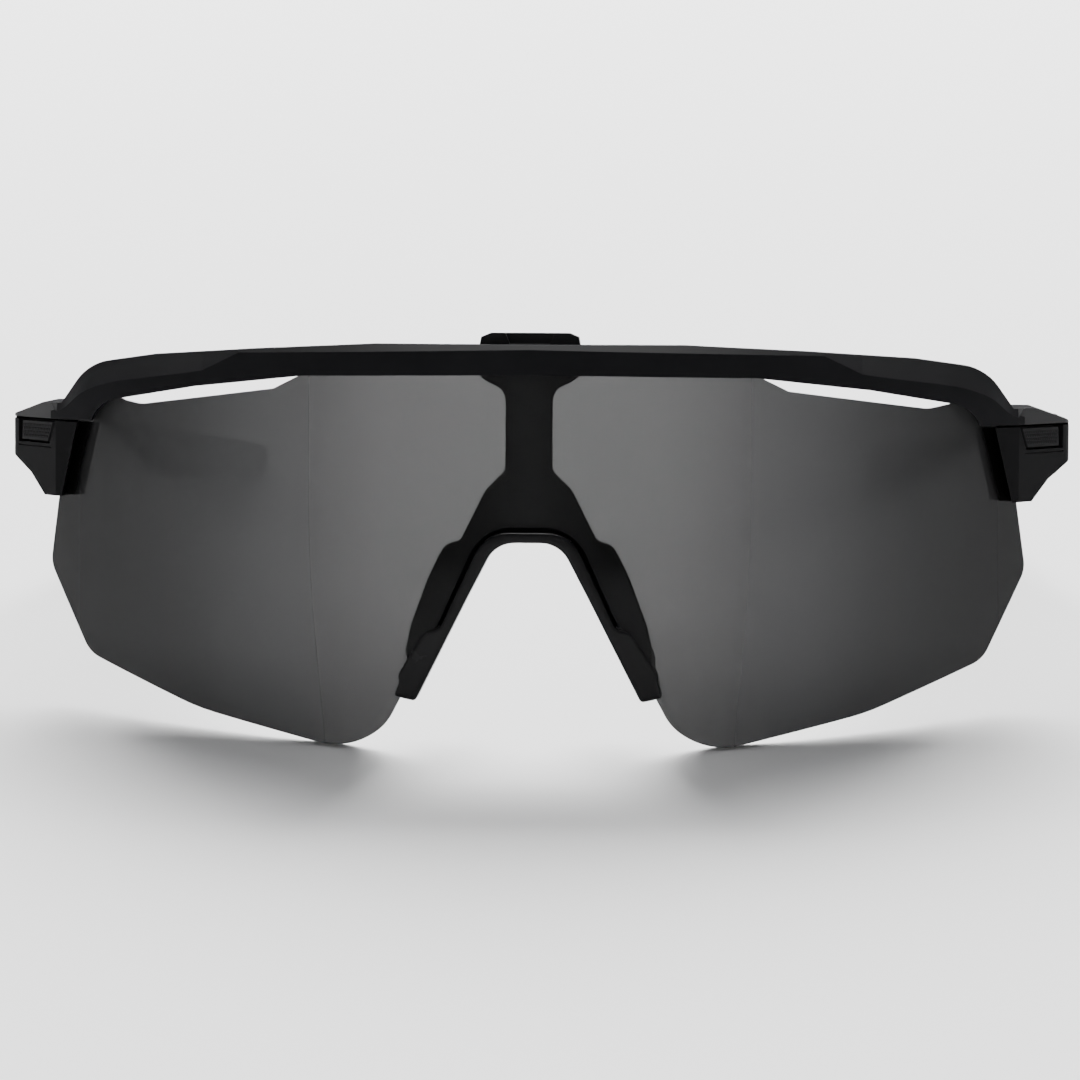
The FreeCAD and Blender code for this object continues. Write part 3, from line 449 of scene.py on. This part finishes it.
def grooves(distance, pitch, narrowness):
    """1 along the middle of each groove, and 0 midway between two of them."""
    return (0.5 + 0.5 * np.cos(2 * math.pi * distance / pitch)) ** narrowness


def vertex_arrays(piece):
    """The places and normals of a piece's vertices, as arrays."""
    count = len(piece.data.vertices)
    places = np.zeros(count * 3)
    normals = np.zeros(count * 3)
    piece.data.vertices.foreach_get("co", places)
    piece.data.vertices.foreach_get("normal", normals)
    return places.reshape(-1, 3), normals.reshape(-1, 3)


def sink(piece, places, normals, depths):
    """Push the vertices in along their normals, by depths in mm."""
    piece.data.vertices.foreach_set("co", (places - normals * depths[:, None] * MM).ravel())
    piece.data.update()


def finished(piece, material, source, body):
    """Give a piece its material, and let it take the place of a CAD node on a body."""
    piece.data.materials.append(material)
    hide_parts(source)
    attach(piece, body)


WORN_AXES = np.array(WORN_TURN)
# Places, pitches and depths are in mm, and a slant is mm along for each mm up.
GRIP_GROOVES = (110.0, 143.0)
GRIP_FADE = 3.0
GRIP_PITCH = 2.6
GRIP_SLANT = 0.35
GRIP_DEPTH = 0.32
GRIP_FACING = 0.35
GRIP_NARROWNESS = 3


def make_grip(side, material):
    """A rubber sleeve with slanted cross grooves in its outer and inner faces."""
    source = f"temple_grip_{side}"
    piece = remeshed(f"grip_sleeve_{side}", source, GRIP_VOXEL, SOFT_SMOOTHING)
    places, normals = vertex_arrays(piece)
    _, back, up = ((places - np.array(ORIGIN)) @ WORN_AXES / MM).T
    facing = looking(np.abs((normals @ WORN_AXES)[:, 0]), GRIP_FACING)
    start, end = GRIP_GROOVES
    fade = np.clip((back - start) / GRIP_FADE, 0, 1) * np.clip((end - back) / GRIP_FADE, 0, 1)
    wave = grooves(back + up * GRIP_SLANT, GRIP_PITCH, GRIP_NARROWNESS)
    sink(piece, places, normals, GRIP_DEPTH * fade * facing * wave)
    finished(piece, material, source, f"temple_{side}")


PAD_PITCH = 1.9
PAD_DEPTH = 0.16
PAD_FACING = 0.4
PAD_NARROWNESS = 4


def make_nose_pad(side, material):
    """A soft pad with shallow slanted grooves on the face that meets the nose."""
    source = f"nose_pad_{side}"
    piece = remeshed(f"soft_nose_pad_{side}", source, PAD_VOXEL, SOFT_SMOOTHING)
    joint = JOINTS[f"pad_turn_{side}"]
    down = np.array(Vector(joint["axis"]).normalized())
    places, normals = vertex_arrays(piece)
    along = (places - np.array(joint["pos_m"])) @ down / MM
    inward = -1 if side == "left" else 1
    facing = looking((normals @ WORN_AXES)[:, 0] * inward, PAD_FACING)
    sink(piece, places, normals, PAD_DEPTH * facing * grooves(along, PAD_PITCH, PAD_NARROWNESS))
    finished(piece, material, source, f"pad_{side}")


def make_nose_bridge(material):
    """The moulded nose piece with the soft corners of its real moulding."""
    piece = remeshed("moulded_nose_bridge", "nose_bridge", NOSE_VOXEL, NOSE_SMOOTHING)
    finished(piece, material, "nose_bridge", "front")


# In mm, apart from STUD_TOP, the share of its width that a stud keeps at its top.
STUD_SIDES = 6
STUD_PITCH = 0.56
STUD_RADIUS = 0.24
STUD_RISE = 0.12
STUD_FOOT = 0.05
STUD_MARGIN = 0.3
STUD_TOP = 0.62


def add_stud(work, centre, along, outward):
    """One low hexagonal stud, sunk a little into the face and narrower at its top."""
    rings = []
    for scale, lift in ((1.0, -STUD_FOOT), (STUD_TOP, STUD_RISE)):
        ring = []
        for corner in range(STUD_SIDES):
            angle = 2 * math.pi * (corner + 0.5) / STUD_SIDES
            spoke = along * math.cos(angle) + UP * math.sin(angle)
            ring.append(work.verts.new(centre + (spoke * STUD_RADIUS * scale + outward * lift) * MM))
        rings.append(ring)
    for corner in range(STUD_SIDES):
        after = (corner + 1) % STUD_SIDES
        work.faces.new((rings[0][corner], rings[0][after], rings[1][after], rings[1][corner]))
    work.faces.new(rings[1])
    work.faces.new(list(reversed(rings[0])))


def reach(corners, direction):
    """The least and the greatest distance of some corners along a direction."""
    distances = [corner.dot(direction) for corner in corners]
    return min(distances), max(distances)


def make_button(side, material):
    """The release button: a slanted pad covered with a honeycomb of low studs."""
    source = f"release_button_{side}"
    piece = mesh_copy(f"textured_button_{side}", source)
    inward = Vector(JOINTS[f"button_press_{side}"]["axis"]).normalized()
    along = UP.cross(inward).normalized()
    corners = [vertex.co.copy() for vertex in piece.data.vertices]
    face, _ = reach(corners, inward)
    low, high = reach(corners, UP)
    middle = (low + high) / 2
    bottom = reach([corner for corner in corners if corner.dot(UP) < middle], along)
    top = reach([corner for corner in corners if corner.dot(UP) > middle], along)
    margin, pitch = STUD_MARGIN * MM, STUD_PITCH * MM
    row_step = pitch * math.sqrt(3) / 2
    rows = int((high - low - 2 * margin) / row_step)
    spare = (high - low - rows * row_step) / 2
    work = bmesh.new()
    work.from_mesh(piece.data)
    for row in range(rows + 1):
        level = low + spare + row * row_step
        share = (level - low) / (high - low)
        first = bottom[0] + (top[0] - bottom[0]) * share + margin
        last = bottom[1] + (top[1] - bottom[1]) * share - margin
        offset = (row % 2) * pitch / 2
        columns = range(math.ceil((first - offset) / pitch), math.floor((last - offset) / pitch) + 1)
        for column in columns:
            place = along * (column * pitch + offset) + UP * level + inward * face
            add_stud(work, place, along, -inward)
    bmesh.ops.recalc_face_normals(work, faces=work.faces)
    work.to_mesh(piece.data)
    work.free()
    finished(piece, material, source, f"button_{side}")


# ---------------------------------------------------------------- dressing the CAD nodes
def dress(node_name, material):
    """Give a CAD node's mesh this material all over."""
    mesh = NODES[node_name].data
    if mesh.materials:
        for index in range(len(mesh.materials)):
            mesh.materials[index] = material
    else:
        mesh.materials.append(material)


brow_black = moulded(
    "brow_black", (0.0085, 0.0085, 0.0094), 0.36, specular=0.02, grain=0.10, height=0.002, mottle=0.04)
cover_black = moulded("cover_black", (0.008, 0.008, 0.0084), 0.45, specular=0.004)
nose_black = moulded(
    "nose_black", (0.006, 0.006, 0.0064), 0.24, specular=0.1, grain=0.14, height=0.003, mottle=0.03)
arm_black = moulded("arm_black", (0.005, 0.005, 0.0055), 0.44, specular=0.05)
rubber_black = moulded(
    "rubber_black", (0.007, 0.007, 0.007), 0.68, specular=0.06, grain=0.18, height=0.010)
pad_black = moulded(
    "pad_black", (0.006, 0.006, 0.0063), 0.62, specular=0.06, grain=0.2, height=0.008)
button_grey = moulded(
    "button_grey", (0.012, 0.012, 0.0125), 0.5, specular=0.01, grain=0.1, height=0.006, edge=0.05)
lever_black = moulded("lever_black", (0.020, 0.020, 0.021), 0.45, specular=0.05)
# The gasket is near-black, darker than the other plastics: painted shade for the strip beside the lens
# where the cover's inner wall lies in shadow.
gasket_painted_shade_black = moulded(
    "gasket_painted_shade_black", (0.001, 0.001, 0.001), 0.8, specular=0.02, grain=0.2, height=0.006)
hinge_black = brushed_metal("hinge_black", (0.10, 0.10, 0.105), 0.38)
steel = brushed_metal("steel", (0.55, 0.55, 0.56), 0.30)
lens_smoke = smoke_lens()

LOOKS = {
    "brow_frame": brow_black, "shield_lens": lens_smoke, "nose_pad_pins": steel, "latch_pin": steel,
    "latch_spring": steel, "latch_lever": lever_black, "bracket_screws": hinge_black,
    "hinge_screws": hinge_black,
}
SIDED_LOOKS = {
    "end_cover": cover_black, "lens_gasket": gasket_painted_shade_black, "button_spring": steel,
    "hinge_bracket": hinge_black, "temple_arm": arm_black, "temple_core": steel,
    "temple_hinge_leaf": hinge_black, "leaf_screws": hinge_black,
}
for node_name, material in LOOKS.items():
    dress(node_name, material)
for side in ("left", "right"):
    for node_name, material in SIDED_LOOKS.items():
        dress(f"{node_name}_{side}", material)
    make_grip(side, rubber_black)
    make_nose_pad(side, pad_black)
    make_button(side, button_grey)
make_nose_bridge(nose_black)

make_camera()
make_stage()
make_lights()
